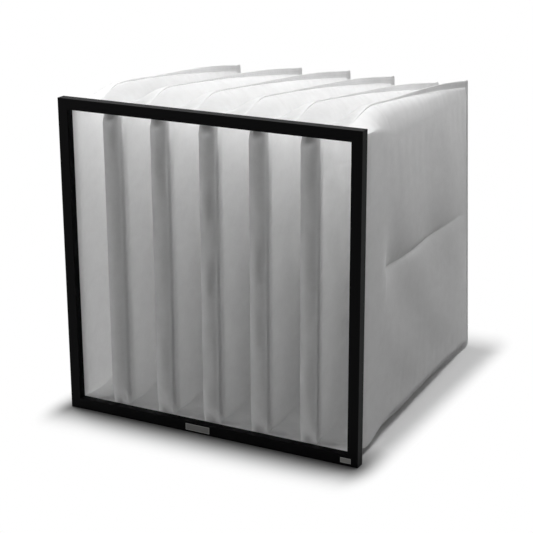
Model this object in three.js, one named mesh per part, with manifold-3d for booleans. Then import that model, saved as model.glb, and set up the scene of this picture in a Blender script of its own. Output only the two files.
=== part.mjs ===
// Bag air filter: a square moulded header frame that holds six deep fabric pockets side by side.
// The fabric is cut in upright sheets. Each inner sheet is folded round a divider bar at the front,
// so that one half of it is the right wall of one pocket and the other half the left wall of the next.
// The sheets are welded to each other along the top, the rear and the bottom of every pocket.
// Millimetres: x runs across the face, y from the front face to the rear, z up.
import * as THREE from "three";
import { mergeVertices } from "three/addons/utils/BufferGeometryUtils.js";
import Module from "manifold-3d";

const wasm = await Module();
wasm.setup();

// Overall sizes
const faceWidth = 592;
const faceHeight = 592;
const filterDepth = 640;
const pocketCount = 6;

// Header frame
const borderWidth = 20;
const frameDepth = 20;
const frontSkin = 3;
const wallSkin = 2.5;
const edgeRound = 0.8;
const ribThickness = 2;
const sideRibCount = 5;

// Retaining ring at the back of the frame
const ringThickness = 2.8;
const rimWidth = 2.4;

// Divider bars
const noseWidth = 30;
const barWall = 2;
const barBack = 23.7;
const lugHeight = 8;
const lugTabWidth = 10;

// Fabric
const mediaThickness = 3;
const lipThickness = 1;
const lipWidth = 8;
const weldThickness = 1.2;
const noseRecess = 1;
const noseTopFade = 16;
const noseBottomFade = 38;
const pinchGap = 2;
const pinchDepth = 62;
const sideSwell = 6;
const crownRise = 33;
const topDroop = [72, 66, 63, 66, 70, 61];
const flangeWidth = 14;
const frontFlange = 4;
const topCorner = 5;
const bottomCorner = 12;
const roofHeight = 55;
const keelHeight = 38;
const pocketLean = [-37, 13, 26, 27, 26, -9];
const footLean = 22;
const footClearance = 0.1;

// How the pockets change along their length, as shares of the length and as powers of it
const seamRun = 0.15;
const crownRun = 0.25;
const openRun = [0.03, 0.3];
const flangeRun = [0.3, 0.9];
const leanPower = 1.6;
const droopPower = 1.45;
const taperPower = 1.4;
const rearRoofShare = 0.3;

// Spacer webs inside the pockets
const webThickness = 1.2;
const webNarrowest = 2;
const webStart = 150;
const creaseShare = 0.47;
const creaseDepth = 11;
const creaseHalfShare = 0.06;
const creaseReach = 45;
const creaseLead = 30;
const creaseRun = 70;

// Labels on the front of the bottom rail: width, height and centre of each
const labelThickness = 0.3;
const labelWidth = 49;
const labelHeight = 12.5;
const labelCentre = -21.5;
const tagWidth = 20;
const tagHeight = 9.5;
const tagInset = 13;

// Fits
const seatGap = 0.3;
const weldGap = 0.3;
const foldGap = 0.6;

// How far a cutting or joining solid runs past the face that it meets, and the shortest step in a shape
const overcut = 1;
const leastStep = 1;

// Sizes that follow from the ones above
const windowWidth = faceWidth - 2 * borderWidth;
const windowBottom = borderWidth;
const windowTop = faceHeight - borderWidth;
const ringFront = frameDepth - ringThickness;
const lipFront = ringFront - seatGap - lipThickness;
const innerWallEnd = lipFront - seatGap;
const mouthWidth = (windowWidth - (pocketCount - 1) * noseWidth) / pocketCount;
const pocketPitch = mouthWidth + noseWidth;
const noseReach = lipFront - noseRecess;
const seamHalf = weldGap / 2;
const rearSeam = filterDepth - flangeWidth;
const ringInset = mediaThickness + seatGap;
const slopeGap = (mediaThickness + foldGap) * Math.SQRT2;

// A bar ends where its front wall would meet the tab of the lug that holds it.
const barEndShare = (lipFront + slopeGap + barWall + seatGap - ringFront) / noseReach;
const barTop = windowTop - noseTopFade * barEndShare;
const barFoot = windowBottom + noseBottomFade * barEndShare;

const plastic = { color: 0x17171a, roughness: 0.55, metalness: 0 };
const fabric = { color: 0xe6e7ea, roughness: 0.95, metalness: 0 };
const scrim = { color: 0xdcdcd8, roughness: 0.9, metalness: 0 };
const paper = { color: 0xc9c9c4, roughness: 0.7, metalness: 0 };

// A closed geometry as a solid that can be joined and cut.
function solidOf(geometry) {
  const bare = geometry.clone();
  bare.deleteAttribute("normal");
  bare.deleteAttribute("uv");
  const merged = mergeVertices(bare, 1e-4);
  return new wasm.Manifold(
    new wasm.Mesh({
      numProp: 3,
      vertProperties: new Float32Array(merged.attributes.position.array),
      triVerts: new Uint32Array(merged.index.array),
    }),
  );
}

// A joined or cut solid as a geometry again.
function geometryOf(solid) {
  const mesh = solid.getMesh();
  const geometry = new THREE.BufferGeometry();
  geometry.setAttribute("position", new THREE.BufferAttribute(mesh.vertProperties, 3));
  geometry.setIndex(new THREE.BufferAttribute(mesh.triVerts, 1));
  return withNormals(geometry);
}

function withNormals(geometry) {
  const flat = geometry.toNonIndexed();
  flat.computeVertexNormals();
  return flat;
}

function namedMesh(name, geometry, finish) {
  const material = new THREE.MeshStandardMaterial({ ...finish, side: THREE.FrontSide });
  const mesh = new THREE.Mesh(geometry, material);
  mesh.name = name;
  return mesh;
}

// An axis-aligned block between two corners.
function block(low, high) {
  const geometry = new THREE.BoxGeometry(high[0] - low[0], high[1] - low[1], high[2] - low[2]);
  geometry.translate((low[0] + high[0]) / 2, (low[1] + high[1]) / 2, (low[2] + high[2]) / 2);
  return geometry;
}

// The outline of the face drawn in by an inset, as a closed path in x and z.
function insetPath(PathClass, inset) {
  const half = faceWidth / 2 - inset;
  const path = new PathClass();
  path.moveTo(-half, inset);
  path.lineTo(half, inset);
  path.lineTo(half, faceHeight - inset);
  path.lineTo(-half, faceHeight - inset);
  path.closePath();
  return path;
}

// A square ring between two insets from the face's outline, from one depth to another.
function ringBetween(outerInset, innerInset, front, back, round = 0) {
  const shape = insetPath(THREE.Shape, outerInset);
  shape.holes.push(insetPath(THREE.Path, innerInset));
  const geometry = new THREE.ExtrudeGeometry(shape, {
    depth: back - front - 2 * round,
    bevelEnabled: round > 0,
    bevelThickness: round,
    bevelSize: round,
    bevelOffset: -round,
    bevelSegments: 2,
  });
  return geometry.rotateX(Math.PI / 2).translate(0, back - round, 0);
}

const smooth = (from, to, value) => THREE.MathUtils.smoothstep(value, from, to);
const mix = THREE.MathUtils.lerp;

// Places across the face
const pocketCentre = (pocket) => (pocket - (pocketCount - 1) / 2) * pocketPitch;
const noseCentre = (nose) => (nose - (pocketCount - 2) / 2) * pocketPitch;

// The front moulding: a channel open to the rear, with cross ribs at the bars and down the sides.
function frontMoulding() {
  let body = solidOf(ringBetween(0, borderWidth, 0, frameDepth, edgeRound));
  const back = frameDepth + overcut;
  body = body.subtract(solidOf(ringBetween(wallSkin, borderWidth - wallSkin, frontSkin, back)));
  body = body.subtract(solidOf(ringBetween(wallSkin, borderWidth + overcut, innerWallEnd, back)));
  const from = wallSkin / 2;
  const to = borderWidth - wallSkin / 2;
  for (let nose = 0; nose < pocketCount - 1; nose++) {
    const x = noseCentre(nose);
    for (const [low, high] of [[from, to], [faceHeight - to, faceHeight - from]]) {
      const ribLow = [x - ribThickness / 2, frontSkin / 2, low];
      body = body.add(solidOf(block(ribLow, [x + ribThickness / 2, innerWallEnd, high])));
    }
  }
  for (let rib = 0; rib < sideRibCount; rib++) {
    const z = ((rib + 1) * faceHeight) / (sideRibCount + 1);
    for (const side of [-1, 1]) {
      const inner = side * (faceWidth / 2 - to);
      const outer = side * (faceWidth / 2 - from);
      const low = [Math.min(inner, outer), frontSkin / 2, z - ribThickness / 2];
      const high = [Math.max(inner, outer), innerWallEnd, z + ribThickness / 2];
      body = body.add(solidOf(block(low, high)));
    }
  }
  return geometryOf(body);
}

// The retaining ring: a flat ring inside the skirt, a rim on its outer edge, and two lugs for every bar.
function retainingRing() {
  const outer = wallSkin + seatGap;
  let body = solidOf(ringBetween(outer, borderWidth - ringInset, ringFront, frameDepth));
  const rim = ringBetween(outer, outer + rimWidth, innerWallEnd + seatGap, ringFront + overcut);
  body = body.add(solidOf(rim));
  const half = noseWidth / 2 - mediaThickness - foldGap - barWall - seatGap;
  for (let nose = 0; nose < pocketCount - 1; nose++) {
    const x = noseCentre(nose);
    for (const lug of [topLug(), bottomLug()]) {
      const tabLow = [x - lugTabWidth / 2, ringFront, lug.tab[0]];
      const tab = block(tabLow, [x + lugTabWidth / 2, frameDepth, lug.tab[1]]);
      const plugFront = barFront() + barWall + seatGap;
      const plug = loft(lug.plug.map((z) => barSection(x, z, half, plugFront, frameDepth)));
      body = body.add(solidOf(tab)).add(solidOf(plug));
    }
  }
  return geometryOf(body);
}

// Heights of a lug's flat tab and of the plug that fills the end of the bar.
function topLug() {
  const plugTop = windowTop - noseTopFade - mediaThickness;
  const plug = [plugTop - lugHeight, plugTop];
  return { tab: [plug[0], windowTop + ringInset + overcut], plug };
}

function bottomLug() {
  const plugFoot = windowBottom + noseBottomFade + mediaThickness;
  const plug = [plugFoot, plugFoot + lugHeight];
  return { tab: [windowBottom - ringInset - overcut, plug[1]], plug };
}

// How far the nose of a sheet stands in front of the clamped lip, at a height.
function reachAt(z) {
  const fromTop = (windowTop - z) / noseTopFade;
  const fromBottom = (z - windowBottom) / noseBottomFade;
  return noseReach * THREE.MathUtils.clamp(Math.min(fromTop, fromBottom), 0, 1);
}

const barFront = () => noseRecess + mediaThickness + foldGap;

// The directions in which the points of a nose lie, from its left flank round the front to its right flank.
const noseSteps = 6;
const noseAngles = Array.from({ length: noseSteps + 1 }, (_, i) => Math.PI * (i / noseSteps - 0.5));

// The front of a bar lies behind the fabric, and more so where the nose slopes back to the lip.
function barFrontAt(z) {
  return reachAt(z) < noseReach ? lipFront - reachAt(z) + slopeGap : barFront();
}

// A divider bar is a channel with a round nose, open to the rear, whose ends are cut back with the fabric.
function dividerBar(x) {
  const half = noseWidth / 2 - mediaThickness - foldGap;
  const fullFrom = windowBottom + noseBottomFade + leastStep;
  const fullTo = windowTop - noseTopFade - leastStep;
  const levels = [barFoot, fullFrom, fullTo, barTop];
  const outer = solidOf(loft(levels.map((z) => barSection(x, z, half, barFrontAt(z), barBack))));
  const inner = levels.map((z, i) => {
    const past = i === 0 ? z - overcut : i === levels.length - 1 ? z + overcut : z;
    return barSection(x, past, half - barWall, barFrontAt(z) + barWall, barBack + overcut);
  });
  return geometryOf(outer.subtract(solidOf(loft(inner))));
}

// One level of a bar: a half ellipse in front of two straight legs.
function barSection(x, z, half, front, back) {
  const root = Math.max(lipFront, front + leastStep);
  const loop = noseAngles.map((angle) => [
    x + half * Math.sin(angle),
    root - (root - front) * Math.cos(angle),
    z,
  ]);
  loop.push([x + half, back, z], [x - half, back, z]);
  return loop;
}

// A closed solid through loops of equal length, each level above the one before.
function loft(loops) {
  const count = loops[0].length;
  const index = [];
  for (let level = 0; level + 1 < loops.length; level++) {
    for (let i = 0; i < count; i++) {
      const a = level * count + i;
      const b = level * count + ((i + 1) % count);
      index.push(a, b, b + count, a, b + count, a + count);
    }
  }
  const last = (loops.length - 1) * count;
  const flat = loops[0].map(([x, y]) => new THREE.Vector2(x, y));
  for (const [a, b, c] of THREE.ShapeUtils.triangulateShape(flat, [])) {
    index.push(a, c, b, last + a, last + b, last + c);
  }
  const geometry = new THREE.BufferGeometry();
  geometry.setAttribute("position", new THREE.Float32BufferAttribute(loops.flat(2), 3));
  return geometry.setIndex(index);
}

// How far along a pocket a depth lies: 0 at the clamped lip, 1 at the rear seam.
const along = (depth) => THREE.MathUtils.clamp((depth - lipFront) / (rearSeam - lipFront), 0, 1);

// How much of a pocket's fullness is left at a depth: 1 at the lip, 0 at the rear seam.
const fullness = (depth) => 1 - Math.pow(along(depth), taperPower);

// The middle of a pocket leans to the side towards the rear, and its foot leans further than its top.
function pocketMiddle(pocket, depth, z) {
  const lean = pocketLean[pocket % pocketLean.length] + footLean * (1 - z / windowTop);
  return pocketCentre(pocket) + lean * Math.pow(along(depth), leanPower);
}

// Half the inside width of a pocket. It swells behind the noses and runs out to nothing at the rear seam.
function halfWidth(pocket, side, depth) {
  const outermost = (side < 0 && pocket === 0) || (side > 0 && pocket === pocketCount - 1);
  const swell = outermost ? sideSwell : noseWidth / 2 - mediaThickness - pinchGap / 2;
  const mouth = mouthWidth / 2 - seamHalf;
  return seamHalf + (mouth + swell * smooth(barBack, pinchDepth, depth)) * fullness(depth);
}

// Heights of the top and bottom seams, and the width of the welded flange that stands on them.
function topSeam(pocket, depth) {
  const u = along(depth);
  const droop = topDroop[pocket % topDroop.length] * Math.pow(u, droopPower);
  return windowTop + crownRise * smooth(0, crownRun, u) - droop;
}

function bottomSeam(depth) {
  return mix(windowBottom, footClearance + flangeAt(depth), smooth(0, seamRun, along(depth)));
}

function flangeAt(depth) {
  const u = along(depth);
  return frontFlange * smooth(0, seamRun, u) + (flangeWidth - frontFlange) * smooth(...flangeRun, u);
}

// Heights of the arched roof above the walls and of the arched keel below them.
const archShare = (depth) => mix(rearRoofShare, 1, fullness(depth)) * smooth(...openRun, along(depth));
const roofAt = (depth) => roofHeight * archShare(depth);
const keelAt = (depth) => keelHeight * archShare(depth);

// The pockets' walls are pulled in along the crease where the spacer web is welded to them,
// and less so above and below it.
function creaseAt(depth, away = 0) {
  const start = webStart - creaseLead;
  const full = creaseDepth * smooth(start, start + creaseRun, depth) * fullness(depth);
  return full * Math.exp(-away / creaseReach);
}

// How finely the fabric is drawn: steps across a roof's or keel's half, upper and lower levels of a wall
// as shares of its height, and places along a pocket as shares of its length.
const flapSteps = 4;
const upperShare = 0.2;
const lowerShare = 0.76;
const lengthShares = [0.13, 0.22, 0.34, 0.5, 0.68, 0.85];

// The levels of a wall between its shoulders, as shares of its height from the top.
const wallShares = (() => {
  const height = windowTop - windowBottom;
  const low = creaseShare - creaseHalfShare;
  const high = creaseShare + creaseHalfShare;
  const footShare = 1 - noseBottomFade / height;
  return [noseTopFade / height, upperShare, low, creaseShare, high, lowerShare, footShare, 1];
})();

// The inside line of one wall of a pocket at a depth, from the edge of the top flange to the bottom one.
// Each point is x, z and the fabric's thickness there.
function wallLine(pocket, side, depth) {
  const half = halfWidth(pocket, side, depth);
  const atEdge = depth > rearSeam;
  const top = topSeam(pocket, depth) - (atEdge ? topCorner : 0);
  const bottom = bottomSeam(depth) + (atEdge ? bottomCorner : 0);
  const flange = flangeAt(depth);
  const arched = smooth(...openRun, along(depth));
  const clamped = depth <= lipFront;
  const thickness = depth >= rearSeam ? weldThickness : clamped ? lipThickness : mediaThickness;
  const seamThickness = clamped ? lipThickness : weldThickness;
  const point = (aside, z, thick) => [pocketMiddle(pocket, depth, z) + side * aside, z, thick];
  const arch = (step, seam, rise) => {
    const share = step / flapSteps;
    const turn = (share * Math.PI) / 2;
    const aside = seamHalf + (half - seamHalf) * mix(share, Math.sin(turn), arched);
    return point(aside, seam - rise * (1 - Math.cos(turn)), thickness);
  };
  const line = [point(seamHalf, top + flange, seamThickness), point(seamHalf, top, seamThickness)];
  for (let i = 1; i <= flapSteps; i++) line.push(arch(i, top, roofAt(depth)));
  const shoulder = top - roofAt(depth);
  const foot = bottom + keelAt(depth);
  for (const share of wallShares) {
    const away = Math.abs(share - creaseShare) * (shoulder - foot);
    const dent = share < 1 ? creaseAt(depth, away) : 0;
    line.push(point(half - dent, mix(shoulder, foot, share), thickness));
  }
  for (let i = flapSteps - 1; i >= 1; i--) line.push(arch(i, bottom, -keelAt(depth)));
  line.push(point(seamHalf, bottom, seamThickness), point(seamHalf, bottom - flange, seamThickness));
  return line;
}

// The depths at which a pocket's walls are drawn, from the lip to the edge of the rear flange.
const pocketDepths = [
  lipFront,
  barBack,
  (barBack + pinchDepth) / 2,
  pinchDepth,
  ...lengthShares.map((share) => mix(lipFront, rearSeam, share)),
  rearSeam,
  filterDepth,
];

// A sheet of fabric is an open surface of merged points, each with its thickness.
class Sheet {
  constructor() {
    this.points = [];
    this.thickness = [];
    this.faces = [];
    this.known = new Map();
  }

  point(x, y, z, thickness) {
    const key = [x, y, z].map((value) => value.toFixed(3)).join(" ");
    if (!this.known.has(key)) {
      this.known.set(key, this.points.length);
      this.points.push(new THREE.Vector3(x, y, z));
      this.thickness.push(thickness);
    }
    return this.known.get(key);
  }

  // Quads between rows of points; a cell that has run out to a line gives one face or none.
  patch(rows) {
    for (let i = 0; i + 1 < rows.length; i++) {
      for (let j = 0; j + 1 < rows[i].length; j++) {
        const [a, b, c, d] = [rows[i][j], rows[i + 1][j], rows[i + 1][j + 1], rows[i][j + 1]];
        this.face(a, b, c);
        this.face(a, c, d);
      }
    }
  }

  face(a, b, c) {
    if (a !== b && b !== c && c !== a) this.faces.push([a, b, c]);
  }

  // The averaged direction in which the fabric's thickness is laid on, at every point.
  directions() {
    const sums = this.points.map(() => new THREE.Vector3());
    for (const [a, b, c] of this.faces) {
      const ab = this.points[b].clone().sub(this.points[a]);
      const ac = this.points[c].clone().sub(this.points[a]);
      const normal = ab.cross(ac);
      for (const i of [a, b, c]) sums[i].add(normal);
    }
    return sums.map((sum) => sum.normalize());
  }

  // The closed solid between the surface and its copy one thickness away.
  solid() {
    const count = this.points.length;
    const away = this.directions();
    const far = this.points.map((p, i) => p.clone().addScaledVector(away[i], this.thickness[i]));
    const index = [];
    const edges = new Map();
    for (const [a, b, c] of this.faces) {
      index.push(c, b, a, a + count, b + count, c + count);
      for (const [from, to] of [[a, b], [b, c], [c, a]]) edges.set(from + " " + to, [from, to]);
    }
    for (const [from, to] of edges.values()) {
      if (edges.has(to + " " + from)) continue;
      index.push(to + count, from + count, from, to + count, from, to);
    }
    const geometry = new THREE.BufferGeometry();
    const corners = [...this.points, ...far].flatMap((p) => [p.x, p.y, p.z]);
    geometry.setAttribute("position", new THREE.Float32BufferAttribute(corners, 3));
    return withNormals(geometry.setIndex(index));
  }
}

// One wall of a pocket, as rows of points from the lip to the rear flange.
function wallRows(sheet, pocket, side) {
  return pocketDepths.map((depth) =>
    wallLine(pocket, side, depth).map(([x, z, thickness]) => sheet.point(x, depth, z, thickness)),
  );
}

// The flat lip that lies between the front moulding and the retaining ring, above or below a mouth's edge.
function addLip(sheet, xs, z, outward) {
  const edge = xs.map((x) => sheet.point(x, lipFront, z, lipThickness));
  const rim = xs.map((x) => sheet.point(x, lipFront, z + outward * lipWidth, lipThickness));
  sheet.patch(xs.map((_, i) => (outward > 0 ? [rim[i], edge[i]] : [edge[i], rim[i]])));
}

// Where the points of a mouth's top or bottom edge lie across the face, from the seam to the corner.
function mouthSteps(pocket, side) {
  const half = halfWidth(pocket, side, lipFront);
  const steps = [];
  for (let i = 0; i <= flapSteps; i++) {
    const x = seamHalf + ((half - seamHalf) * i) / flapSteps;
    steps.push(pocketCentre(pocket) + side * x);
  }
  return steps;
}

const mouthLevels = [0, ...wallShares].map((share) => mix(windowTop, windowBottom, share));

// An inner sheet: the right wall of one pocket, the nose round the bar, and the left wall of the next.
function innerSheet(nose) {
  const sheet = new Sheet();
  const x = noseCentre(nose);
  const across = noseAngles.map((angle) => x + (noseWidth / 2) * Math.sin(angle));
  sheet.patch(wallRows(sheet, nose, 1).reverse());
  sheet.patch(wallRows(sheet, nose + 1, -1));
  sheet.patch(
    noseAngles.map((angle, i) =>
      mouthLevels.map((z, level) => {
        const atEnd = level === 0 || level === mouthLevels.length - 1;
        const thickness = atEnd ? lipThickness : mediaThickness;
        return sheet.point(across[i], lipFront - reachAt(z) * Math.cos(angle), z, thickness);
      }),
    ),
  );
  const edge = [...mouthSteps(nose, 1), ...across.slice(1, -1), ...mouthSteps(nose + 1, -1).reverse()];
  addLip(sheet, edge, windowTop, 1);
  addLip(sheet, edge, windowBottom, -1);
  return sheet.solid();
}

// An outer sheet: one wall of an end pocket, with a lip down the side of the window as well.
function outerSheet(pocket, side) {
  const sheet = new Sheet();
  const rows = wallRows(sheet, pocket, side);
  const windowSide = (side * windowWidth) / 2;
  const lipSide = windowSide + side * lipWidth;
  const edge = [...mouthSteps(pocket, side), lipSide];
  const column = (x) => mouthLevels.map((z) => sheet.point(x, lipFront, z, lipThickness));
  const sideLip = [column(windowSide), column(lipSide)];
  sheet.patch(side > 0 ? rows.reverse() : rows);
  sheet.patch(side > 0 ? sideLip : sideLip.reverse());
  if (side < 0) edge.reverse();
  addLip(sheet, edge, windowTop, 1);
  addLip(sheet, edge, windowBottom, -1);
  return sheet.solid();
}

// The height of the crease on a pocket's wall.
const creaseHeight = (pocket, depth) =>
  mix(topSeam(pocket, depth) - roofAt(depth), bottomSeam(depth) + keelAt(depth), creaseShare);

// A spacer web: a level strip across the inside of a pocket, as wide as the pocket is at the crease.
// It dips to the rear with the crease, so it is lofted from one depth to the next.
function spacerWeb(pocket) {
  const inside = (side, depth) => halfWidth(pocket, side, depth) - creaseAt(depth) - seatGap;
  const depths = [webStart, ...pocketDepths.filter((depth) => depth > webStart + leastStep)];
  const usable = depths.filter((depth) => depth < rearSeam && inside(1, depth) > webNarrowest);
  const loops = usable.map((depth) => {
    const middle = pocketMiddle(pocket, depth, creaseHeight(pocket, depth));
    const left = middle - inside(-1, depth);
    const right = middle + inside(1, depth);
    const low = creaseHeight(pocket, depth) - webThickness / 2;
    const high = low + webThickness;
    return [[left, depth, low], [left, depth, high], [right, depth, high], [right, depth, low]];
  });
  return withNormals(loftAlongDepth(loops));
}

// A closed solid through four-cornered loops that follow each other to the rear.
function loftAlongDepth(loops) {
  const index = [];
  for (let level = 0; level + 1 < loops.length; level++) {
    for (let i = 0; i < 4; i++) {
      const a = level * 4 + i;
      const b = level * 4 + ((i + 1) % 4);
      index.push(a, b, b + 4, a, b + 4, a + 4);
    }
  }
  const last = (loops.length - 1) * 4;
  index.push(0, 2, 1, 0, 3, 2, last, last + 1, last + 2, last, last + 2, last + 3);
  const geometry = new THREE.BufferGeometry();
  geometry.setAttribute("position", new THREE.Float32BufferAttribute(loops.flat(2), 3));
  return geometry.setIndex(index);
}

// A blank label on the front of the bottom rail.
function label(x, width, height) {
  const z = borderWidth / 2;
  const low = [x - width / 2, -labelThickness, z - height / 2];
  return block(low, [x + width / 2, 0, z + height / 2]);
}

const filter = new THREE.Group();
filter.position.y = -(filterDepth - labelThickness) / 2;
filter.add(namedMesh("frame_front", frontMoulding(), plastic));
filter.add(namedMesh("retaining_ring", retainingRing(), plastic));
for (let nose = 0; nose < pocketCount - 1; nose++) {
  filter.add(namedMesh("divider_bar_" + (nose + 1), dividerBar(noseCentre(nose)), plastic));
}
filter.add(namedMesh("media_sheet_left", outerSheet(0, -1), fabric));
for (let nose = 0; nose < pocketCount - 1; nose++) {
  filter.add(namedMesh("media_sheet_" + (nose + 1), innerSheet(nose), fabric));
}
filter.add(namedMesh("media_sheet_right", outerSheet(pocketCount - 1, 1), fabric));
for (let pocket = 0; pocket < pocketCount; pocket++) {
  filter.add(namedMesh("spacer_web_" + (pocket + 1), spacerWeb(pocket), scrim));
}
filter.add(namedMesh("rating_label", label(labelCentre, labelWidth, labelHeight), paper));
const tagCentre = faceWidth / 2 - tagInset - tagWidth / 2;
filter.add(namedMesh("corner_label", label(tagCentre, tagWidth, tagHeight), paper));

export default filter;
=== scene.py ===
import math

import bpy
import numpy as np
from mathutils import Matrix, Vector


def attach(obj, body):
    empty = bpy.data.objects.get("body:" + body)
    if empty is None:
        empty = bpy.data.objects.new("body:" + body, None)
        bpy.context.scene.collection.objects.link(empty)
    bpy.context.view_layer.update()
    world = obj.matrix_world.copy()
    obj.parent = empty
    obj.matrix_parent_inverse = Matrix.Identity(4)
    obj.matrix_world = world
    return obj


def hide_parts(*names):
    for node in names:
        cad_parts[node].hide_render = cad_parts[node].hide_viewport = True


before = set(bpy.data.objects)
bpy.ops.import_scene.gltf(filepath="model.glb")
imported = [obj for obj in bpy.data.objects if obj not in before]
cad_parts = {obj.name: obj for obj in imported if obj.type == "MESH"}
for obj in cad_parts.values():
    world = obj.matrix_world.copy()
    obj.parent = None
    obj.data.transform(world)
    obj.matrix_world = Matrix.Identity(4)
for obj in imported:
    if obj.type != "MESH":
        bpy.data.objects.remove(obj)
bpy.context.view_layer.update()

scene = bpy.context.scene

# The view: the camera stands in front of the filter, to its right and above it, somewhat more
# than two and a half metres away, and looks down on it through a long lens.
camera_place = (1.271, -2.50185, 1.142)
camera_turn = math.radians(27.79)
camera_dip = math.radians(18.03)
camera_roll = math.radians(-0.26)
camera_data = bpy.data.cameras.new("view")
camera_data.lens = 103.07
camera_data.clip_end = 30
camera = bpy.data.objects.new("view", camera_data)
scene.collection.objects.link(camera)
ahead = Vector((
    -math.sin(camera_turn) * math.cos(camera_dip),
    math.cos(camera_turn) * math.cos(camera_dip),
    -math.sin(camera_dip),
))
right = Vector((math.cos(camera_turn), math.sin(camera_turn), 0))
aimed = Matrix((right, right.cross(ahead), -ahead)).transposed().to_4x4()
rolled = Matrix.Rotation(camera_roll, 4, "Z")
camera.matrix_world = Matrix.Translation(camera_place) @ aimed @ rolled
scene.camera = camera


def linear(hex_colour):
    """An sRGB hex colour as linear red, green, blue and alpha."""
    channels = [int(hex_colour[i:i + 2], 16) / 255 for i in (1, 3, 5)]
    return [c / 12.92 if c <= 0.04045 else ((c + 0.055) / 1.055) ** 2.4 for c in channels] + [1.0]


def add_node(tree, kind, settings=None, **links):
    """A node of this kind, with its settings, and with each named input linked or set.

    An underscore in a name stands for a space. An input can also go by its number, as in _0.
    """
    made = tree.nodes.new(kind)
    for name, value in (settings or {}).items():
        setattr(made, name, value)
    for name, value in links.items():
        key = int(name[1:]) if name[0] == "_" else name.replace("_", " ")
        if isinstance(value, bpy.types.NodeSocket):
            tree.links.new(value, made.inputs[key])
        else:
            made.inputs[key].default_value = value
    return made


def maths(tree, operation, first, second):
    """The outcome of an operation on two numbers."""
    made = add_node(tree, "ShaderNodeMath", {"operation": operation}, _0=first, _1=second)
    return made.outputs["Value"]


def vector_maths(tree, operation, first, **second):
    """The node of an operation on one or two vectors."""
    return add_node(tree, "ShaderNodeVectorMath", {"operation": operation}, _0=first, **second)


def two_tones(tree, value, dark, light, start=0.0, stop=1.0):
    """A colour that runs from a dark to a light tone over a range of a value."""
    ramp = add_node(tree, "ShaderNodeValToRGB", Fac=value)
    low, high = ramp.color_ramp.elements
    low.position, high.position = start, stop
    low.color, high.color = linear(dark), linear(light)
    return ramp.outputs["Color"]


def blank_material(name):
    """A new material with an empty node tree, and that tree."""
    material = bpy.data.materials.new(name)
    material.use_nodes = True
    material.node_tree.nodes.clear()
    return material, material.node_tree


def finish_node(name, material):
    """Gives a rigid CAD node its finish."""
    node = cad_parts[name]
    for slot in node.material_slots:
        slot.material = material
    if not len(node.material_slots):
        node.data.materials.append(material)


# Front moulding of the header frame: a square channel, open to the rear, injection moulded in
# black polystyrene. Its face is satin and almost even, with a fine eroded grain and faint flow
# marks from the gates at the corners.
plastic, tree = blank_material("moulded_black_polystyrene")
place = add_node(tree, "ShaderNodeTexCoord").outputs["Object"]
# Flow marks run some tens of millimetres; the eroded grain is drawn at 1.2 mm so that it shows.
flow = add_node(tree, "ShaderNodeTexNoise", Vector=place, Scale=22.0, Detail=3.0, Roughness=0.6)
grain = add_node(tree, "ShaderNodeTexNoise", Vector=place, Scale=820.0, Detail=2.0)
gloss = add_node(
    tree, "ShaderNodeMapRange", Value=flow.outputs["Fac"], To_Min=0.42, To_Max=0.56,
)
relief = add_node(
    tree, "ShaderNodeBump", Height=grain.outputs["Fac"], Strength=0.12, Distance=0.0002,
)
shader = add_node(
    tree, "ShaderNodeBsdfPrincipled",
    Base_Color=two_tones(tree, flow.outputs["Fac"], "#060607", "#0b0b0c", 0.3, 0.75),
    Roughness=gloss.outputs["Result"], Normal=relief.outputs["Normal"],
    IOR=1.59, Specular_IOR_Level=0.03,
)
add_node(tree, "ShaderNodeOutputMaterial", Surface=shader.outputs["BSDF"])
finish_node("frame_front", plastic)

# Divider bars: five upright channels with a round nose, moulded in the same black plastic.
# The fabric is folded round each of them, so that they only show from behind.
bar_names = ["divider_bar_%d" % number for number in range(1, 6)]
for name in bar_names:
    finish_node(name, plastic)

# Filter fabric: white synthetic fibre, lofted to about 3 mm and faced with a thin smooth scrim.
# It is matt and soft, lets much light through, and shows small clouds of denser fibre. The outer
# walls are of a closer grade, which lets less light through than the folds between the pockets.
# Where a cloth is pressed or welded thin it is dense, and only this share of it is clear.
pressed_clear = 0.25


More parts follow.
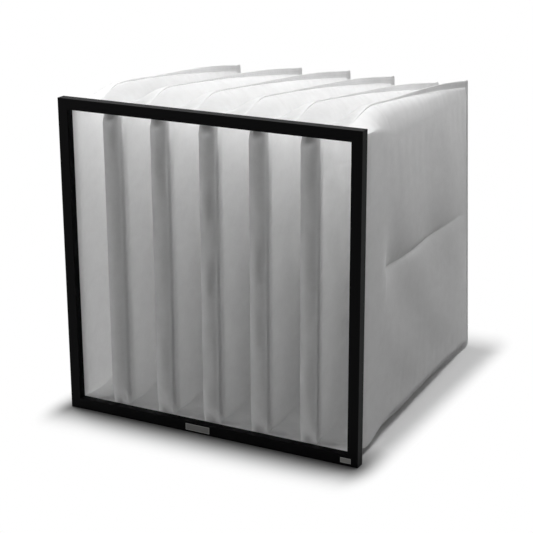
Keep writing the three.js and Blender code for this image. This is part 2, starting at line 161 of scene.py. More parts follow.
def lofted_fabric(name, clear):
    """White lofted synthetic fabric, of which this share is clear to light."""
    fabric, tree = blank_material(name)
    cut_place = add_node(tree, "ShaderNodeUVMap", {"uv_map": "cut"}).outputs["UV"]
    # The cut's own coordinates are metres of cloth, so 1 / scale is the size of a cloud or a fibre.
    clouds = add_node(
        tree, "ShaderNodeTexNoise", Vector=cut_place, Scale=38.0, Detail=4.0, Roughness=0.62,
    )
    # Real fibres are far too fine to show; they are drawn as streaks 2 mm wide and 12 mm long.
    lengthwise = add_node(tree, "ShaderNodeMapping", Vector=cut_place, Scale=(1.0, 0.16, 1.0))
    fibres = add_node(
        tree, "ShaderNodeTexNoise",
        Vector=lengthwise.outputs["Vector"], Scale=520.0, Detail=3.0, Roughness=0.7,
    )
    density = add_node(
        tree, "ShaderNodeMath", {"operation": "MULTIPLY_ADD"},
        _0=fibres.outputs["Fac"], _1=0.55, _2=clouds.outputs["Fac"],
    )
    tone = two_tones(tree, density.outputs["Value"], "#f4f4f4", "#fefefe", start=0.45)
    relief = add_node(
        tree, "ShaderNodeBump", Height=density.outputs["Value"], Strength=0.6, Distance=0.0006,
    )
    facing = add_node(
        tree, "ShaderNodeBsdfPrincipled",
        Base_Color=tone, Normal=relief.outputs["Normal"], Roughness=0.92,
        Specular_IOR_Level=0.25, Sheen_Weight=0.8, Sheen_Roughness=0.35,
    )
    through = add_node(
        tree, "ShaderNodeBsdfTranslucent", Color=tone, Normal=relief.outputs["Normal"],
    )
    pressed = add_node(tree, "ShaderNodeAttribute", {"attribute_name": "pressed"})
    share = add_node(
        tree, "ShaderNodeMapRange",
        Value=pressed.outputs["Fac"], To_Min=clear, To_Max=pressed_clear,
    )
    shader = add_node(
        tree, "ShaderNodeMixShader",
        Fac=share.outputs["Result"], _1=facing.outputs["BSDF"], _2=through.outputs["BSDF"],
    )
    add_node(tree, "ShaderNodeOutputMaterial", Surface=shader.outputs["Shader"])
    return fabric


folded_fabric = lofted_fabric("white_lofted_synthetic_fabric", 0.84)
outer_fabric = lofted_fabric("white_lofted_fabric_closer_grade", 0.3)

# The pockets: the sheets are welded to each other along the top, the rear and the bottom of each
# pocket. A pocket opens behind the frame, leans a little to one side and runs out to a thin rear
# seam. These sizes are millimetres in the part's own frame, with the depth counted from the front.
front_y = -319.85
face = 592.0
rail_width = 20.0
window = (rail_width, face - rail_width)
pockets = 6
nose_width = 30.0
mouth_width = (face - 2 * rail_width - (pockets - 1) * nose_width) / pockets
pitch = mouth_width + nose_width
# Along the depth: the clamped lip, the back of the bar, the full swell, the weld and the edge.
lip_depth = 15.9
bar_back = 23.7
pinch_depth = 62.0
seam_depth = 626.0
edge_depth = 640.0
# The cloth: its thickness lofted, welded and clamped, and half the gap between two welded sheets.
loft = 3.0
weld = 1.2
lip_thickness = 1.0
seam_half = 0.15
lip_height = 8.0
# On the flat cut: from a fold's middle to a pocket's wall, and from the cut's edge to the mouth.
fold_half = 24.0
cut_margin = 60
# Each pocket's own lean, droop of its top weld, and share of its depth in which its crown rises.
lean = (-37.0, 13.0, 26.0, 27.0, 26.0, -9.0)
droop = (72.0, 66.0, 63.0, 66.0, 70.0, 61.0)
crown_run = (0.19, 0.2, 0.2, 0.2, 0.21, 0.24)
crown_rise = 33.0
foot_lean = 22.0
lean_power = 1.6
droop_power = 1.45
taper_power = 1.4
# A wall swells behind the header: an outer one by this much, an inner one up to its neighbour.
outer_swell = 6.0
between_walls = 1.0
roof_height = 55.0
keel_height = 38.0
# The flanges stand out this much at the front and grow by this much towards the rear.
front_flange = 4.0
flange_growth = 10.0
floor_clearance = 0.1
top_corner = 5.0
bottom_corner = 14.0
# The crease: its level as a share of the wall, its start, and its wide and its sharp part.
crease_share = 0.47
crease_start = 150.0
crease_wide = 11.0
crease_sharp = 3.0
crease_reach_above = 60.0
crease_reach_below = 24.0
crease_sharp_reach = 5
# The nose: how far its fold stands out, how long its ends are, and how far its cloth sits back.
nose_stand = 14.9
nose_top_end = 16.0
nose_low_end = 38.0
nose_set_back = 0.4
nose_wander = 1.2


def ease(start, stop, value):
    """A smooth step from 0 to 1."""
    t = np.clip((value - start) / (stop - start), 0, 1)
    return t * t * (3 - 2 * t)


def blend(a, b, t):
    return a + (b - a) * t


def along(depth):
    """A depth as a share of the way from the lip to the rear weld."""
    return np.clip((depth - lip_depth) / (seam_depth - lip_depth), 0, 1)


def taper(depth):
    return 1 - along(depth) ** taper_power


def opened(depth):
    """How far the mouth's flat edges have opened into a round roof and keel."""
    return ease(0.03, 0.3, along(depth))


def pocket_centre(pocket):
    return (pocket - (pockets - 1) / 2) * pitch


def nose_centre(nose):
    return (nose - (pockets - 2) / 2) * pitch


def pocket_middle(pocket, depth, z=window[1]):
    """The middle of a pocket, which leans aside, and more so at its foot."""
    aside = lean[pocket] + foot_lean * (1 - z / window[1])
    return pocket_centre(pocket) + aside * along(depth) ** lean_power


def half_width(pocket, side, depth):
    """From the middle of a pocket to its wall on one side."""
    outermost = (pocket == 0 and side < 0) or (pocket == pockets - 1 and side > 0)
    swell = outer_swell if outermost else nose_width / 2 - loft - between_walls
    full = mouth_width / 2 - seam_half + swell * ease(bar_back, pinch_depth, depth)
    return seam_half + full * taper(depth)


def flange(depth):
    u = along(depth)
    return front_flange * ease(0, 0.15, u) + flange_growth * ease(0.3, 0.9, u)


def rounded(depth, radius):
    """How far the flange's edge is cut back where its corner is rounded off."""
    share = np.clip((depth - (edge_depth - radius)) / radius, 0, 1)
    return radius * (1 - np.sqrt(1 - share ** 2))


def top_weld(pocket, depth):
    """The level of the top weld: it rises to the crown and then droops to the rear."""
    u = along(depth)
    level = window[1] + crown_rise * ease(0, crown_run[pocket], u) - droop[pocket] * u ** droop_power
    return level - rounded(depth, top_corner)


def bottom_weld(depth):
    """The level of the bottom weld, whose flange stands just clear of the floor."""
    level = blend(window[0], flange(depth) + floor_clearance, ease(0, 0.15, along(depth)))
    return level + rounded(depth, bottom_corner)


def shoulder_share(depth):
    """The roof and the keel grow shallower as the pocket runs out."""
    return 0.3 + 0.7 * taper(depth)


def roof_drop(depth):
    return roof_height * shoulder_share(depth) * opened(depth)


def keel_rise(depth):
    return keel_height * shoulder_share(depth) * opened(depth)


def waves(seed, shortest, longest, *places):
    """A soft random wave field between about -1 and 1, always the same for a seed."""
    chance = np.random.default_rng(seed)
    field = 0.0
    for _ in range(7):
        length = chance.uniform(shortest, longest)
        heading = chance.uniform(0, math.pi)
        phase = chance.uniform(0, 2 * math.pi)
        crosswise = places[1] * math.sin(heading) if len(places) > 1 else 0
        way = places[0] * math.cos(heading) + crosswise
        field = field + np.sin(2 * math.pi * way / length + phase)
    return field / 3.2


def meander(pocket, depth):
    """How far the welded seam wanders to the side of its line."""
    return 0.9 * ease(80, 200, depth) * waves(900 + pocket, 60, 170, depth)


# The rows of points: closer together at the mouth, at the crease, at the welds and at the edges.
depth_rows = np.concatenate([
    np.linspace(lip_depth, pinch_depth, 14),
    np.linspace(pinch_depth + 6, crease_start - 12, 12),
    np.linspace(crease_start - 8, crease_start + 8, 7),
    np.linspace(crease_start + 14, seam_depth - 8, 66),
    seam_depth + np.array([-4, -1.5, 0, 3, 6, 8.5, 10.5, 12, 13.2, 14]),
])
flange_shares = np.array([1.0, 0.66, 0.33])
flap_shares = np.concatenate([np.linspace(0, 0.2, 5), np.linspace(0.26, 1, 12)])
wall_shares = np.unique(np.concatenate([
    np.linspace(0, 0.045, 8),
    np.linspace(0.06, crease_share - 0.04, 24),
    crease_share + np.linspace(-0.03, 0.03, 9),
    np.linspace(crease_share + 0.04, 0.9, 24),
    np.linspace(0.915, 1, 12),
]).round(5))
nose_angles = np.linspace(-math.pi / 2, math.pi / 2, 25)
mouth_levels = blend(window[1], window[0], wall_shares)


class Sheet:
    """An open surface of merged points, each with the cloth's thickness and its place on the cut."""

    def __init__(self):
        self.points, self.thickness, self.cut, self.quads = [], [], [], []
        self.count = 0

    def patch(self, points, thickness, cut):
        rows, columns = points.shape[:2]
        index = self.count + np.arange(rows * columns).reshape(rows, columns)
        corners = (index[:-1, :-1], index[1:, :-1], index[1:, 1:], index[:-1, 1:])
        self.points.append(points.reshape(-1, 3))
        self.thickness.append(np.broadcast_to(thickness, (rows, columns)).reshape(-1))
        self.cut.append(cut.reshape(-1, 2))
        self.quads.append(np.stack(corners, -1).reshape(-1, 4))
        self.count += rows * columns

    def merged(self):
        points = np.concatenate(self.points)
        _, first, where = np.unique(
            points.round(2), axis=0, return_index=True, return_inverse=True,
        )
        quads = where.reshape(-1)[np.concatenate(self.quads)]
        thickness = np.concatenate(self.thickness)[first]
        return points[first], thickness, np.concatenate(self.cut)[first], quads


def cloth_object(name, sheet, material):
    """Gives the surface its thickness and closes its edges. The cut's coordinates become a UV map."""
    points, thickness, cut, quads = sheet.merged()
    corners = points[quads]
    normals = np.zeros_like(points)
    crossed = np.cross(corners[:, 2] - corners[:, 0], corners[:, 3] - corners[:, 1])
    for corner in range(4):
        np.add.at(normals, quads[:, corner], crossed)
    normals /= np.maximum(np.linalg.norm(normals, axis=1, keepdims=True), 1e-9)
    count = len(points)
    far = points + normals * thickness[:, None]
    faces = [tuple(dict.fromkeys(q)) for q in quads.tolist()]
    faces = [f for f in faces if len(f) > 2]
    edges = dict.fromkeys(pair for f in faces for pair in zip(f, f[1:] + f[:1]))
    rims = [(a, b, b + count, a + count) for a, b in edges if (b, a) not in edges]
    near_side = [tuple(reversed(f)) for f in faces]
    far_side = [tuple(i + count for i in f) for f in faces]
    mesh = bpy.data.meshes.new(name)
    placed = np.concatenate([points, far]) + (0, front_y, 0)
    mesh.from_pydata((placed / 1000).tolist(), [], near_side + far_side + rims)
    mesh.validate()
    uv = mesh.uv_layers.new(name="cut")
    loops = np.zeros(len(mesh.loops), dtype=np.int32)
    mesh.loops.foreach_get("vertex_index", loops)
    uv.data.foreach_set("uv", (cut[loops % count] / 1000).reshape(-1))
    pressed = np.clip((loft - thickness) / (loft - weld), 0, 1)
    layer = mesh.attributes.new("pressed", "FLOAT", "POINT")
    layer.data.foreach_set("value", np.concatenate([pressed, pressed]))
    mesh.shade_smooth()
    mesh.set_sharp_from_angle(angle=math.radians(50))
    mesh.materials.append(material)
    made = bpy.data.objects.new(name, mesh)
    scene.collection.objects.link(made)
    return made


def crease_depth(depth, beside):
    """How far a wall is drawn in by its spacer web, at a distance below or above the crease.

    The crease starts at once along its own line, and more gently away from it.
    """
    at_once = ease(crease_start - 4, crease_start + 6, depth)
    gently = ease(crease_start - 30, crease_start + 40, depth)
    start = blend(gently, at_once, np.exp(-np.abs(beside + 8) / 22))
    reach = np.where(beside > 0, crease_reach_above, crease_reach_below)
    wide = crease_wide * np.exp(-np.abs(beside) / reach)
    sharp = crease_sharp * np.exp(-np.abs(beside) / crease_sharp_reach)
    return (wide + sharp) * start * taper(depth) ** 0.6


def flap(half, share, from_seam, open_now):
    """A roof or a keel: its share of the height, its way out from the weld, and its thickness."""
    bend = share * math.pi / 2
    out = seam_half + (half - seam_half) * blend(share, np.sin(bend), open_now)
    lofted = ease(-1, 9, from_seam)
    off_weld = loft * lofted + weld * (1 - lofted)
    return 1 - np.cos(bend), out, blend(loft, off_weld, open_now)


def wall_patch(sheet, pocket, side, turn):
    """One wall of a pocket, from the lip to the rear flange and from the top flange to the bottom."""
    depth = depth_rows[:, None]
    half = half_width(pocket, side, depth)
    top = top_weld(pocket, depth)
    bottom = bottom_weld(depth)
    open_now = opened(depth)
    roof = roof_drop(depth)
    keel = keel_rise(depth)
    aside = meander(pocket, depth)
    seed = 100 * pocket + (50 if side > 0 else 0)
    to_rear = seam_depth - depth
    pucker_room = ease(24, 120, depth) * ease(0, 12, to_rear)

    def weld_side(z):
        return pocket_middle(pocket, depth, z) + side * seam_half + aside

    # Each strip is its points' x, z and thickness. The first one is the top flange.
    z = top + flange(depth) * flange_shares
    strips = [(weld_side(z), z, weld)]

    # The roof, gathered along the top weld.
    share = flap_shares
    from_seam = share * np.hypot(half, roof)
    down, out, thick = flap(half, share, from_seam, open_now)
    gathers = waves(seed + 1, 8, 22, depth + 0.25 * from_seam) * np.exp(-from_seam / 45)
    gathers = gathers * ease(0, 5, from_seam) * ease(0, 0.4, 1 - share)
    lift = 1.3 * gathers * pucker_room
    z = top - roof * down
    middle = pocket_middle(pocket, depth, z) + aside * (1 - share ** 2)
    strips.append((middle + side * (out + 0.6 * lift), z + 0.7 * lift, thick))

    # The side wall, drawn in at the crease, with slow billows and streaks below the roof.
    shoulder = top - roof
    foot = bottom + keel
    z = blend(shoulder, foot, wall_shares[1:])
    dent = crease_depth(depth, z - blend(shoulder, foot, crease_share))
    below, above = shoulder - z, z - foot
    still = ease(pinch_depth, 230, depth) * ease(0, 90, to_rear)
    billow = 2.4 * waves(seed + 2, 130, 300, depth, z) * still
    billow = billow * ease(0, 70, below) * ease(0, 50, above)
    streaks = 0.7 * waves(seed + 3, 14, 40, depth + 0.2 * z) * np.exp(-below / 70)
    streaks = streaks * ease(0, 40, below) * pucker_room
    low_gathers = 0.8 * waves(seed + 4, 12, 30, depth - 0.2 * z) * np.exp(-above / 45)
    low_gathers = low_gathers * ease(0, 25, above) * pucker_room
    out = np.maximum(half - dent + billow + streaks + low_gathers, seam_half)
    strips.append((pocket_middle(pocket, depth, z) + side * out, z, loft))

    # The keel, gathered along the bottom weld.
    share = flap_shares[::-1][1:]
    from_seam = share * np.hypot(half, keel)
    up, out, thick = flap(half, share, from_seam, open_now)
    gathers = waves(seed + 5, 10, 28, depth + 0.2 * from_seam) * np.exp(-from_seam / 26)
    gathers = gathers * ease(0, 5, from_seam) * ease(0, 0.4, 1 - share)
    lift = 1.4 * gathers * ease(18, 50, depth) * ease(0, 12, to_rear)
    z = bottom + keel * up
    middle = pocket_middle(pocket, depth, z) + aside * (1 - share ** 2)
    strips.append((middle + side * (out + 0.6 * lift), z - 0.3 * lift, thick))

    # The bottom flange.
    z = bottom - flange(depth) * flange_shares[::-1]
    strips.append((weld_side(z), z, weld))

    parts = zip(*(np.broadcast_arrays(*strip) for strip in strips))
    x, z, thickness = (np.concatenate(part, axis=1) for part in parts)
    thickness = np.where(depth <= lip_depth, lip_thickness, thickness)
    thickness = np.where(depth >= seam_depth - 2, weld, thickness)
    x = blend(x, weld_side(z), ease(seam_depth - 4, seam_depth, depth))
    y = np.broadcast_to(depth, x.shape)
    points = np.stack([x, y, z], axis=-1)
    steps = np.linalg.norm(np.diff(points, axis=1), axis=-1)
    across = np.concatenate([np.zeros((len(x), 1)), np.cumsum(steps, axis=1)], axis=1)
    cut = np.stack([side * (y - lip_depth + fold_half), across], axis=-1)
    if turn:
        points, thickness, cut = points[::-1], thickness[::-1], cut[::-1]
    sheet.patch(points, thickness, cut)


def nose_reach(z):
    """How far the fold stands in front of the clamped lip: full along the bar, less at its ends."""
    down = np.clip((window[1] - z) / nose_top_end, 0, 1)
    up = np.clip((z - window[0]) / nose_low_end, 0, 1)
    bulge = np.minimum(1.3 * np.exp(-((window[1] - z - 21) / 6.0) ** 2), nose_set_back)
    reach = nose_stand * np.minimum(down, np.sin(up * math.pi / 2)) - nose_set_back + bulge
    return np.maximum(reach, 0)


def nose_patch(sheet, nose):
    """The fold round a bar, between the edges of the two mouths beside it."""
    z = mouth_levels[None, :]
    angle = nose_angles[:, None]
    aside = nose_wander * waves(700 + nose, 90, 260, z) * np.cos(angle) ** 2
    aside = aside * ease(0, 60, z - window[0]) * ease(0, 60, window[1] - z)
    x = nose_centre(nose) + nose_width / 2 * np.sin(angle) + aside
    y = lip_depth - nose_reach(z) * np.cos(angle)
    points = np.stack(np.broadcast_arrays(x, y, z), axis=-1)
    clamped = (np.abs(angle) > math.pi / 2 - 1e-6) | (z >= window[1]) | (z <= window[0])
    around = fold_half * angle / (math.pi / 2)
    cut = np.stack(np.broadcast_arrays(around, window[1] - z + cut_margin), axis=-1)
    sheet.patch(points, np.where(clamped, lip_thickness, loft), cut)


def lip_patch(sheet, xs, z, outward):
    """The flat lip above or below a mouth, between the front moulding and the retaining ring."""
    xs = np.asarray(xs)[:, None]
    rows = np.array([[0.0, 0.5, 1.0]]) * lip_height * outward
    points = np.stack(np.broadcast_arrays(xs, lip_depth, z + rows), axis=-1)
    cut = np.stack(np.broadcast_arrays(xs, cut_margin + window[1] - z - rows), axis=-1)
    if outward > 0:
        points, cut = points[:, ::-1], cut[:, ::-1]
    sheet.patch(points, lip_thickness, cut)


def mouth_edge(pocket, side):
    """Where the flaps of a wall start along the top or the bottom of the mouth."""
    half = half_width(pocket, side, np.array(lip_depth))
    return pocket_centre(pocket) + side * (seam_half + (half - seam_half) * flap_shares)


# Sheets of fabric: five inner ones, each folded round a divider bar to make the right wall of one
# pocket and the left wall of the next, and two outer ones. Their lips are clamped in the frame.
for nose in range(pockets - 1):
    sheet = Sheet()
    wall_patch(sheet, nose, 1, True)
    wall_patch(sheet, nose + 1, -1, False)
    nose_patch(sheet, nose)
    fold = nose_centre(nose) + nose_width / 2 * np.sin(nose_angles[1:-1])
    edge = np.concatenate([mouth_edge(nose, 1), fold, mouth_edge(nose + 1, -1)[::-1]])
    lip_patch(sheet, edge, window[1], 1)
    lip_patch(sheet, edge, window[0], -1)
    cloth = cloth_object("folded_sheet_%d" % (nose + 1), sheet, folded_fabric)
    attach(cloth, "root")
    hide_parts("media_sheet_%d" % (nose + 1))

for pocket, side, name in ((0, -1, "left"), (pockets - 1, 1, "right")):
    sheet = Sheet()
    wall_patch(sheet, pocket, side, side > 0)
    levels = mouth_levels[None, :]
    clamped_x = side * (face / 2 - rail_width) + side * np.array([[0.0], [0.5], [1.0]]) * lip_height
    points = np.stack(np.broadcast_arrays(clamped_x, lip_depth, levels), axis=-1)
    cut = np.stack(np.broadcast_arrays(clamped_x, cut_margin + window[1] - levels), axis=-1)
    if side < 0:
        points, cut = points[::-1], cut[::-1]
    sheet.patch(points, lip_thickness, cut)
    edge = np.concatenate([mouth_edge(pocket, side), clamped_x[1:, 0]])
    edge = edge if side > 0 else edge[::-1]
    lip_patch(sheet, edge, window[1], 1)
    lip_patch(sheet, edge, window[0], -1)
    cloth = cloth_object("outer_sheet_" + name, sheet, outer_fabric)
    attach(cloth, "root")
    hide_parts("media_sheet_" + name)

# Weld marks: the sonic horn leaves a row of small pressed pads along the middle of every flange,
# from the top over the rear to the bottom. The melted fibres there are smooth and a little greyer.
marks_start = 130
rear_marks_depth = 633.0
mark_path = bpy.data.curves.new("weld_marks", "CURVE")
mark_path.dimensions = "3D"
for pocket in range(pockets):
    out = np.concatenate([np.linspace(marks_start, 600, 48), [612.0, 624.0, 631.0]])
    top_row = top_weld(pocket, out) + 0.5 * flange(out)
    bottom_row = bottom_weld(out) - 0.5 * flange(out)
    rear_row = np.linspace(top_row[-1] - 5.0, bottom_row[-1] + 7.0, 40)
    depths = np.concatenate([out, rear_marks_depth + 0 * rear_row, out[::-1]])
    levels = np.concatenate([top_row, rear_row, bottom_row[::-1]])
    x = pocket_middle(pocket, depths, levels) + meander(pocket, depths)
    spline = mark_path.splines.new("POLY")
    spline.points.add(len(x) - 1)
    placed = np.stack([x, depths + front_y, levels, 1000 + 0 * x], axis=-1) / 1000
    spline.points.foreach_set("co", placed.reshape(-1))

welded_skin, tree = blank_material("sonic_welded_polyester")
place = add_node(tree, "ShaderNodeTexCoord").outputs["Object"]
# Melted fibres leave a fine uneven skin, drawn at 1.5 mm.
skin = add_node(tree, "ShaderNodeTexNoise", Vector=place, Scale=660.0, Detail=2.0)
relief = add_node(
    tree, "ShaderNodeBump", Height=skin.outputs["Fac"], Strength=0.3, Distance=0.0002,
)
shader = add_node(
    tree, "ShaderNodeBsdfPrincipled",
    Base_Color=two_tones(tree, skin.outputs["Fac"], "#d2d2d2", "#ececec"),
    Normal=relief.outputs["Normal"], Roughness=0.45,
)
add_node(tree, "ShaderNodeOutputMaterial", Surface=shader.outputs["BSDF"])

marking = bpy.data.node_groups.new("weld_marks", "GeometryNodeTree")
marking.interface.new_socket("Geometry", in_out="INPUT", socket_type="NodeSocketGeometry")
marking.interface.new_socket("Geometry", in_out="OUTPUT", socket_type="NodeSocketGeometry")
mark_sizes = {
    "Spacing": 0.009, "Half length": 0.0031, "Half thickness": 0.00165, "Half height": 0.0009,
}
for name in mark_sizes:
    marking.interface.new_socket(name, in_out="INPUT", socket_type="NodeSocketFloat")
marking.interface.new_socket("Material", in_out="INPUT", socket_type="NodeSocketMaterial")
given = add_node(marking, "NodeGroupInput").outputs
stops = add_node(
    marking, "GeometryNodeResampleCurve", {"mode": "LENGTH"},
    Curve=given["Geometry"], Length=given["Spacing"],
)
half_sizes = add_node(
    marking, "ShaderNodeCombineXYZ",
    X=given["Half length"], Y=given["Half thickness"], Z=given["Half height"],
)
ball = add_node(marking, "GeometryNodeMeshIcoSphere", Radius=1.0, Subdivisions=2)
pad = add_node(
    marking, "GeometryNodeTransform",
    Geometry=ball.outputs["Mesh"], Scale=half_sizes.outputs["Vector"],
)
heading = add_node(marking, "GeometryNodeInputTangent")
pad_turn = add_node(
    marking, "FunctionNodeAxesToRotation", {"primary_axis": "X", "secondary_axis": "Y"},
    Primary_Axis=heading.outputs["Tangent"], Secondary_Axis=(1, 0, 0),
)
pads = add_node(
    marking, "GeometryNodeInstanceOnPoints",
    Points=stops.outputs["Curve"], Instance=pad.outputs["Geometry"],
    Rotation=pad_turn.outputs["Rotation"],
)
solid = add_node(marking, "GeometryNodeRealizeInstances", Geometry=pads.outputs["Instances"])
dressed = add_node(
    marking, "GeometryNodeSetMaterial",
    Geometry=solid.outputs["Geometry"], Material=given["Material"],
)
add_node(marking, "NodeGroupOutput", Geometry=dressed.outputs["Geometry"])

path_object = bpy.data.objects.new("weld_path", mark_path)
scene.collection.objects.link(path_object)
modifier = path_object.modifiers.new("weld_marks", "NODES")
modifier.node_group = marking
items = marking.interface.items_tree
sockets = {item.name: item.identifier for item in items if item.in_out == "INPUT"}
for name, mark_size in mark_sizes.items():
    modifier[sockets[name]] = mark_size
modifier[sockets["Material"]] = welded_skin
bpy.context.view_layer.update()
evaluated = path_object.evaluated_get(bpy.context.evaluated_depsgraph_get())
marks_mesh = bpy.data.meshes.new_from_object(evaluated)
bpy.data.objects.remove(path_object)
marks_mesh.shade_smooth()
marks = bpy.data.objects.new("weld_marks", marks_mesh)
scene.collection.objects.link(marks)
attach(marks, "root")

# Retaining ring: a flat black plastic ring pressed into the back of the moulding. It clamps the
# lips of the fabric, and its lugs plug into the ends of the bars.
finish_node("retaining_ring", plastic)

# Labels: two blank self-adhesive paper labels on the front of the bottom rail. Each has a slightly
# darker field inside a pale margin, and a faint pulp grain under its coating. Metres.
label_level = 0.01
margin_width = 0.001


def label_paper(name, centre, width, height, field, margin):
    """The coated paper of one label, with the tones of its field and its margin."""
    paper, tree = blank_material(name)
    place = add_node(tree, "ShaderNodeTexCoord").outputs["Object"]
    from_centre = add_node(
        tree, "ShaderNodeMapping", {"vector_type": "TEXTURE"},
        Vector=place, Location=(centre, 0, label_level),
        Scale=(width / 2 - margin_width, 1.0, height / 2 - margin_width),
    )
    outward = vector_maths(tree, "ABSOLUTE", from_centre.outputs["Vector"])
    parts = add_node(tree, "ShaderNodeSeparateXYZ", Vector=outward.outputs["Vector"])
    furthest = maths(tree, "MAXIMUM", parts.outputs["X"], parts.outputs["Z"])
    tone = add_node(
        tree, "ShaderNodeMix", {"data_type": "RGBA"},
        Factor=maths(tree, "GREATER_THAN", furthest, 1.0), _6=linear(field), _7=linear(margin),
    )
    pulp = add_node(tree, "ShaderNodeTexNoise", Vector=place, Scale=900.0, Detail=3.0)
    speckle = add_node(
        tree, "ShaderNodeMapRange", Value=pulp.outputs["Fac"], To_Min=0.94, To_Max=1.04,
    )
    shade = add_node(
        tree, "ShaderNodeHueSaturation", Color=tone.outputs[2], Value=speckle.outputs["Result"],
    )
    relief = add_node(
        tree, "ShaderNodeBump", Height=pulp.outputs["Fac"], Strength=0.2, Distance=0.0001,
    )
    shader = add_node(
        tree, "ShaderNodeBsdfPrincipled",
        Base_Color=shade.outputs["Color"], Normal=relief.outputs["Normal"], Roughness=0.55,
    )
    add_node(tree, "ShaderNodeOutputMaterial", Surface=shader.outputs["BSDF"])
    return paper


wide_paper = label_paper("wide_label_paper", -0.0215, 0.049, 0.0125, "#8f8f8d", "#c4c4c1")
corner_paper = label_paper("corner_label_paper", 0.273, 0.020, 0.0095, "#b4b4b1", "#d6d6d3")
finish_node("rating_label", wide_paper)
finish_node("corner_label", corner_paper)

# Spacer webs: one thin level strip of scrim across the inside of each pocket, welded to both walls
# along the crease. It keeps the pocket from ballooning. Its edges ruffle a little at the welds.
scrim, tree = blank_material("calendered_polyester_scrim")
cut_place = add_node(tree, "ShaderNodeUVMap", {"uv_map": "cut"}).outputs["UV"]
# Calendered scrim carries a lattice of bond points; real ones are 1 mm apart and are drawn at 2 mm.
lattice = add_node(
    tree, "ShaderNodeTexVoronoi", Vector=cut_place, Scale=500.0, Randomness=0.15,
)
bonds = add_node(
    tree, "ShaderNodeMapRange", Value=lattice.outputs["Distance"], From_Max=0.4,
)
relief = add_node(
    tree, "ShaderNodeBump", Height=bonds.outputs["Result"], Strength=0.3, Distance=0.0003,
)
shader = add_node(
    tree, "ShaderNodeBsdfPrincipled",
    Base_Color=two_tones(tree, bonds.outputs["Result"], "#cfcfca", "#e6e6e1"),
    Normal=relief.outputs["Normal"], Roughness=0.8,
)
add_node(tree, "ShaderNodeOutputMaterial", Surface=shader.outputs["BSDF"])

web_end = 525.0
web_thickness = 1.0
# Each edge of a web stops this far short of its wall, so that it lies in the weld.
web_short = 0.6
web_depths = np.linspace(crease_start + 1, web_end, 60)[:, None]
web_shares = np.linspace(-1, 1, 13)[None, :]
for pocket in range(pockets):
    sheet = Sheet()
    shoulder = top_weld(pocket, web_depths) - roof_drop(web_depths)
    foot = bottom_weld(web_depths) + keel_rise(web_depths)
    level = blend(shoulder, foot, crease_share)
    dent = crease_depth(web_depths, 0 * web_depths)
    left_half = half_width(pocket, -1, web_depths) - dent - web_short
    right_half = half_width(pocket, 1, web_depths) - dent - web_short
    aside = np.where(web_shares < 0, left_half, right_half) * web_shares
    ruffle = 0.5 * waves(400 + pocket, 14, 40, web_depths, 0 * web_depths)
    ruffle = ruffle * np.abs(web_shares) ** 3
    sag = -2.0 * (1 - web_shares ** 2) * ease(crease_start, crease_start + 60, web_depths)
    z = level + ruffle + sag - web_thickness / 2
    x = pocket_middle(pocket, web_depths, level) + aside
    points = np.stack(np.broadcast_arrays(x, web_depths, z), axis=-1)
    cut = np.stack(np.broadcast_arrays(aside, web_depths), axis=-1)
    sheet.patch(points[::-1], web_thickness, cut[::-1])
    web = cloth_object("spacer_strip_%d" % (pocket + 1), sheet, scrim)
    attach(web, "root")
    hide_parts("spacer_web_%d" % (pocket + 1))

# The studio: a wide white floor, a white surround, two soft lamps high above on either side, and
# a weak one low on the left. The camera sees the floor and the surround as white paper. Besides the
# real shadow where the filter stands on it, a soft shade is painted on the paper around the bottom
# rail. The box is the filter's outline on the floor, in metres.
box_front = -0.32
box_half_width = 0.29
box_half_depth = 0.31


def seen_directly(tree, path):
    """1 for what the camera sees straight, mirrored or through cloth, and 0 for light on things."""
    straight_or_mirrored = maths(tree, "MAXIMUM", path["Is Camera Ray"], path["Is Glossy Ray"])
    return maths(tree, "MAXIMUM", straight_or_mirrored, path["Is Transmission Ray"])


def beyond_box(tree, centre_y, half_x, half_y, sideways):
    """How far the floor's point lies outside a box, with the distance sideways weighed more."""
    place = add_node(tree, "ShaderNodeTexCoord").outputs["Object"]
    moved = vector_maths(tree, "SUBTRACT", place, _1=(0, centre_y, 0))
    folded = vector_maths(tree, "ABSOLUTE", moved.outputs["Vector"])
    outside = vector_maths(tree, "SUBTRACT", folded.outputs["Vector"], _1=(half_x, half_y, 0))
    outside = vector_maths(tree, "MAXIMUM", outside.outputs["Vector"], _1=(0, 0, 0))
    weighed = vector_maths(tree, "MULTIPLY", outside.outputs["Vector"], _1=(sideways, 1, 0))
    return vector_maths(tree, "LENGTH", weighed.outputs["Vector"]).outputs["Value"]


floor_paper, tree = blank_material("white_floor_paper")
path = add_node(tree, "ShaderNodeLightPath").outputs
direct = seen_directly(tree, path)
# A shade is painted on the paper around the bottom rail: darkest on the rail's line, gone 0.1 m
# away from it and sooner past its ends. It is for the camera's eye alone, not for the light thrown
# back.
unseen = maths(tree, "SUBTRACT", 1.0, path["Is Camera Ray"])
painted_shade_fade = add_node(
    tree, "ShaderNodeMapRange",
    Value=beyond_box(tree, box_front, box_half_width, 0.0, 1.5), From_Max=0.1,
)
# Painted shade: the paper's colour runs from #7c7c7c on the rail's line to #f8f8f8 away from it.
shade = add_node(
    tree, "ShaderNodeMix", {"data_type": "RGBA"},
    Factor=maths(tree, "MAXIMUM", painted_shade_fade.outputs["Result"], unseen),
    _6=linear("#7c7c7c"), _7=linear("#f8f8f8"),
)
tone = add_node(
    tree, "ShaderNodeMix", {"data_type": "RGBA"},
    Factor=direct, _6=linear("#484848"), _7=shade.outputs[2],
)
paper_face = add_node(tree, "ShaderNodeBsdfDiffuse", Color=tone.outputs[2])
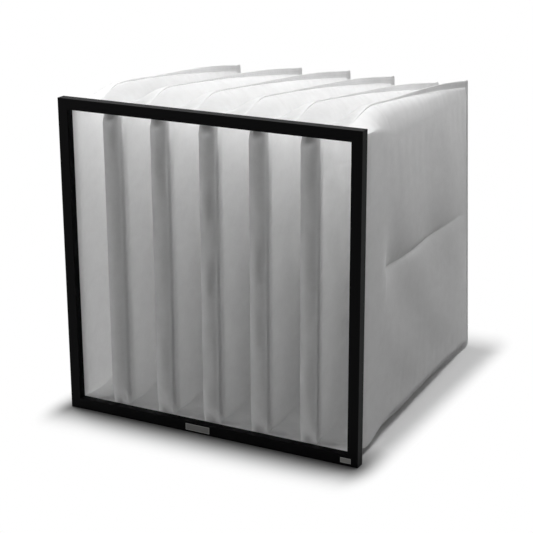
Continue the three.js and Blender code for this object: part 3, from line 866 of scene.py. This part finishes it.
# Away from the filter the paper is lit to an even white.
far_off = add_node(
    tree, "ShaderNodeMapRange", {"interpolation_type": "SMOOTHSTEP"},
    Value=beyond_box(tree, 0.0, box_half_width, box_half_depth, 2.2), From_Min=0.01, From_Max=0.13,
)
white = add_node(tree, "ShaderNodeEmission", Strength=1.0)
shader = add_node(
    tree, "ShaderNodeMixShader", Fac=maths(tree, "MULTIPLY", direct, far_off.outputs["Result"]),
    _1=paper_face.outputs["BSDF"], _2=white.outputs["Emission"],
)
add_node(tree, "ShaderNodeOutputMaterial", Surface=shader.outputs["Shader"])
mesh = bpy.data.meshes.new("studio_floor")
mesh.from_pydata([(-9, -6, 0), (9, -6, 0), (9, 14, 0), (-9, 14, 0)], [], [(0, 1, 2, 3)])
mesh.materials.append(floor_paper)
floor = bpy.data.objects.new("studio_floor", mesh)
scene.collection.objects.link(floor)
floor.location.z = -0.0004

# The surround is white to the camera, and gives a weak light that comes mostly from above.
world = bpy.data.worlds.new("studio")
world.use_nodes = True
scene.world = world
tree = world.node_tree
tree.nodes.clear()
heading = add_node(tree, "ShaderNodeTexCoord").outputs["Generated"]
upward = vector_maths(tree, "DOT_PRODUCT", heading, _1=(0.0, 0.25, 0.97))
given = add_node(
    tree, "ShaderNodeMapRange", Value=upward.outputs["Value"],
    From_Min=-0.1, From_Max=1.0, To_Min=0.05, To_Max=0.3,
)
strength = add_node(
    tree, "ShaderNodeMix", {"data_type": "FLOAT"},
    Factor=seen_directly(tree, add_node(tree, "ShaderNodeLightPath").outputs),
    _2=given.outputs["Result"], _3=1.0,
)
sky = add_node(
    tree, "ShaderNodeBackground", Color=(1, 1, 1, 1), Strength=strength.outputs[0],
)
add_node(tree, "ShaderNodeOutputWorld", Surface=sky.outputs["Background"])


def soft_lamp(name, place, aim, size, energy):
    """A square soft lamp that looks at a point."""
    data = bpy.data.lights.new(name, "AREA")
    data.size = size
    data.energy = energy
    lamp = bpy.data.objects.new(name, data)
    scene.collection.objects.link(lamp)
    lamp.location = place
    lamp.rotation_euler = (Vector(aim) - Vector(place)).to_track_quat("-Z", "Y").to_euler()


soft_lamp("overhead_softbox", (-1.2, 0.1, 2.9), (0, 0.1, 0.4), 0.8, 47)
soft_lamp("right_softbox", (0.75, 0.3, 2.95), (0, 0.1, 0.4), 0.8, 29)
soft_lamp("left_strip", (-2.8, -1.35, 0.9), (0, -0.3, 0.3), 0.6, 24)

# Light crosses many layers of cloth before it reaches the inside of a pocket.
scene.cycles.max_bounces = 32
scene.cycles.diffuse_bounces = 20
scene.cycles.transmission_bounces = 24
scene.view_settings.view_transform = "Standard"
